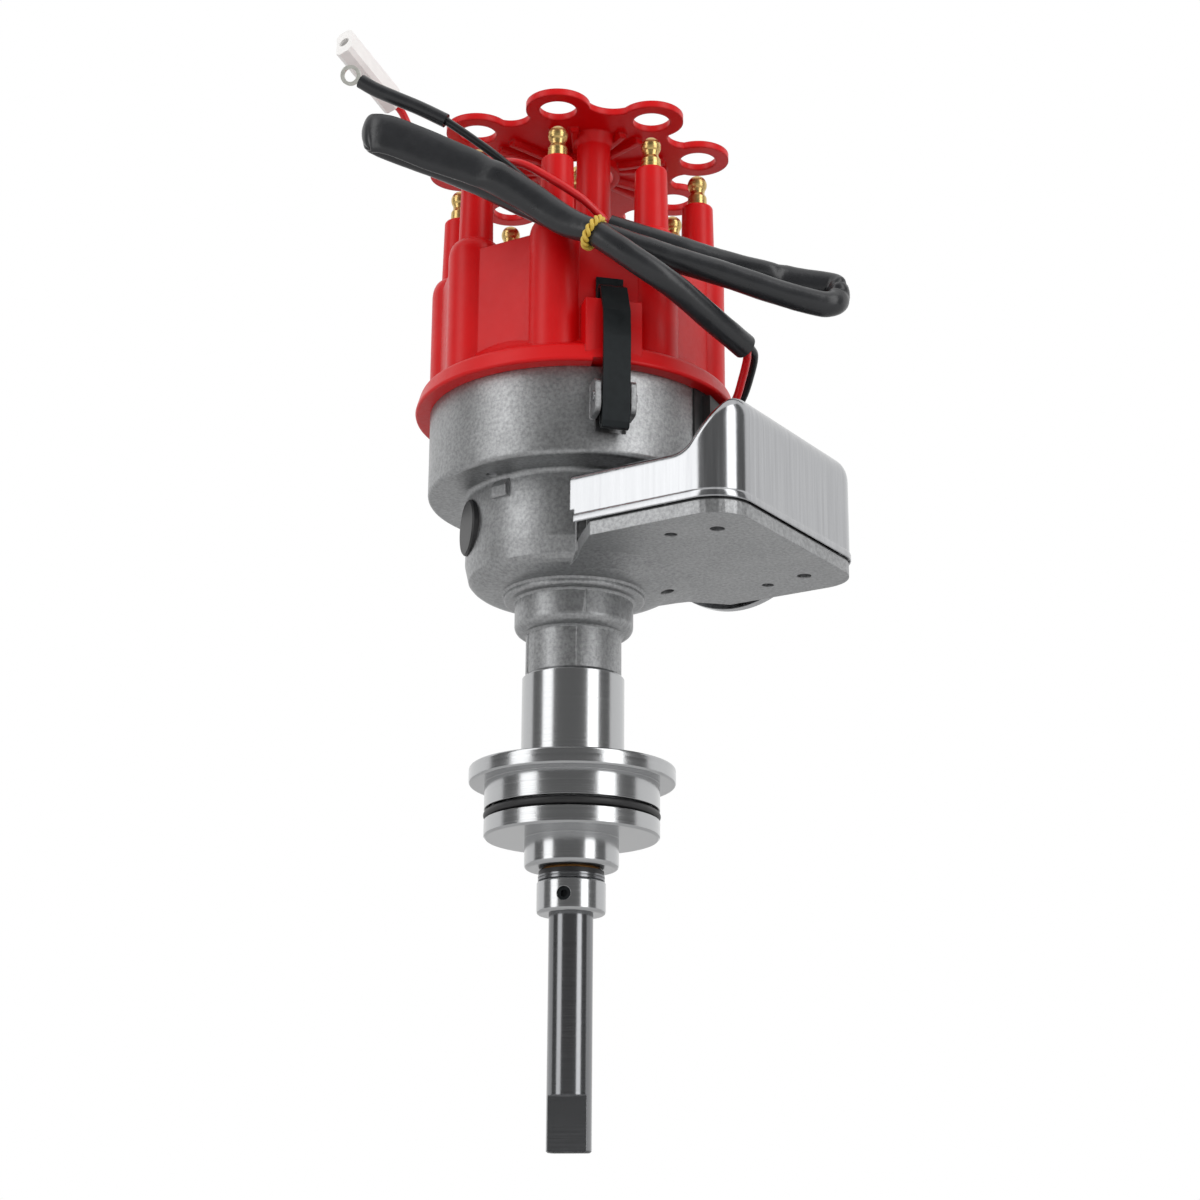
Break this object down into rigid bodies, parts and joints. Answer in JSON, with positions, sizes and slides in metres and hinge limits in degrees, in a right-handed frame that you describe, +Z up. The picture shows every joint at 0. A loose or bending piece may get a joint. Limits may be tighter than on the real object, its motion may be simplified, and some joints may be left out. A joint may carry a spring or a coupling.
{
  "type": "ignition distributor",
  "caption": "Electronic ignition distributor with fluted cap, plug-wire retainer, module cover, vacuum canister, advance mechanism, harness and tang-ended drive shaft.",
  "frame": {"origin": "on the shaft's axis, at the underside of the mounting flange", "axes": "+Z up along the shaft towards the cap, +X from the shaft out along the module platform, +Y towards the vacuum canister's nipple"},
  "size_m": [0.1396, 0.1589, 0.3246],
  "materials": {
    "cast_aluminium": "fine sand-cast, matte silver grey",
    "turned_aluminium": "turned, bright",
    "steel": "ground steel",
    "black_steel": "black satin",
    "plated_steel": "bright plated, slightly brushed",
    "red_plastic": "moulded, satin gloss",
    "brass": "turned, bright",
    "bronze": "sintered",
    "rubber": "matte black",
    "black_plastic": "moulded",
    "carbon": "pressed carbon",
    "tube_plastic": "soft black tube, satin",
    "red_wire": "wire covering",
    "black_wire": "wire covering",
    "yellow_tie": "stretchy band",
    "white_plastic": "moulded"
  },
  "bodies": {
    "housing": {"housing": "cast_aluminium", "mounting_adapter": "turned_aluminium", "pilot_o_ring": "rubber", "lower_bush": "bronze", "upper_bush": "bronze", "bowl_plug": "rubber", "lower_plate": "steel", "plate_screws": "steel", "cap": "red_plastic", "tower_terminals": "brass", "coil_terminal": "brass", "carbon_brush": "carbon", "wire_retainer": "red_plastic", "retainer_screws": "black_steel", "front_clip_pin": "steel", "rear_clip_pin": "steel", "ignition_module": "black_plastic", "module_screws": "steel", "module_cover": "plated_steel", "cover_gasket": "rubber", "cover_screws": "steel", "canister_inner_shell": "plated_steel", "canister_outer_shell": "plated_steel", "canister_screws": "steel", "diaphragm_spring": "steel", "wire_grommet": "rubber", "red_lead": "red_wire", "black_lead": "black_wire", "harness_sleeve": "tube_plastic", "harness_tie": "yellow_tie", "red_tail": "red_wire", "lead_connector": "white_plastic", "black_tail": "black_wire", "ring_sleeve": "tube_plastic", "ring_terminal": "plated_steel"},
    "drive_shaft": {"drive_shaft": "steel", "shaft_collar": "turned_aluminium", "collar_set_screw": "black_steel", "rubber_washer": "rubber", "steel_shim": "steel", "advance_base_plate": "steel", "weight_springs": "steel"},
    "cam": {"cam_sleeve": "steel", "reluctor": "steel", "rotor": "red_plastic", "rotor_contact": "brass"},
    "weight_a": {"advance_weight_a": "steel"},
    "weight_b": {"advance_weight_b": "steel"},
    "pickup": {"pickup_plate": "steel", "magnetic_pickup": "black_plastic", "pickup_screws": "steel"},
    "vacuum_link": {"vacuum_rod": "steel", "vacuum_diaphragm": "rubber"},
    "front_clip": {"front_clip": "black_steel"},
    "rear_clip": {"rear_clip": "black_steel"}
  },
  "joints": [
    {"name": "shaft_spin", "type": "hinge", "parent": "housing", "child": "drive_shaft", "pos_m": [0, 0, 0], "axis": [0, 0, 1], "continuous": true},
    {"name": "centrifugal_advance", "type": "hinge", "parent": "drive_shaft", "child": "cam", "pos_m": [0, 0, 0.09], "axis": [0, 0, 1], "range_deg": [-13.35, 0]},
    {"name": "weight_a_swing", "type": "hinge", "parent": "drive_shaft", "child": "weight_a", "pos_m": [0.02, 0, 0.07], "axis": [0, 0, 1], "range_deg": [-7, 0]},
    {"name": "weight_b_swing", "type": "hinge", "parent": "drive_shaft", "child": "weight_b", "pos_m": [-0.02, 0, 0.07], "axis": [0, 0, 1], "range_deg": [-7, 0]},
    {"name": "vacuum_advance", "type": "hinge", "parent": "housing", "child": "pickup", "pos_m": [0, 0, 0.093], "axis": [0, 0, 1], "range_deg": [0, 10]},
    {"name": "vacuum_rod_slide", "type": "slide", "parent": "housing", "child": "vacuum_link", "axis": [0, 1, 0], "range_m": [0, 0.0048]},
    {"name": "front_clip_swing", "type": "hinge", "parent": "housing", "child": "front_clip", "pos_m": [0.03508, -0.03306, 0.1018], "axis": [0.6858, 0.7278, 0], "range_deg": [0, 20]},
    {"name": "rear_clip_swing", "type": "hinge", "parent": "housing", "child": "rear_clip", "pos_m": [-0.03508, 0.03306, 0.1018], "axis": [-0.6858, -0.7278, 0], "range_deg": [0, 20]}
  ],
  "couplings": [
    {"joint": "weight_a_swing", "follows": "centrifugal_advance", "ratio": 0.5243},
    {"joint": "weight_b_swing", "follows": "centrifugal_advance", "ratio": 0.5243},
    {"joint": "vacuum_rod_slide", "follows": "vacuum_advance", "m_per_rad": 0.0275}
  ]
}
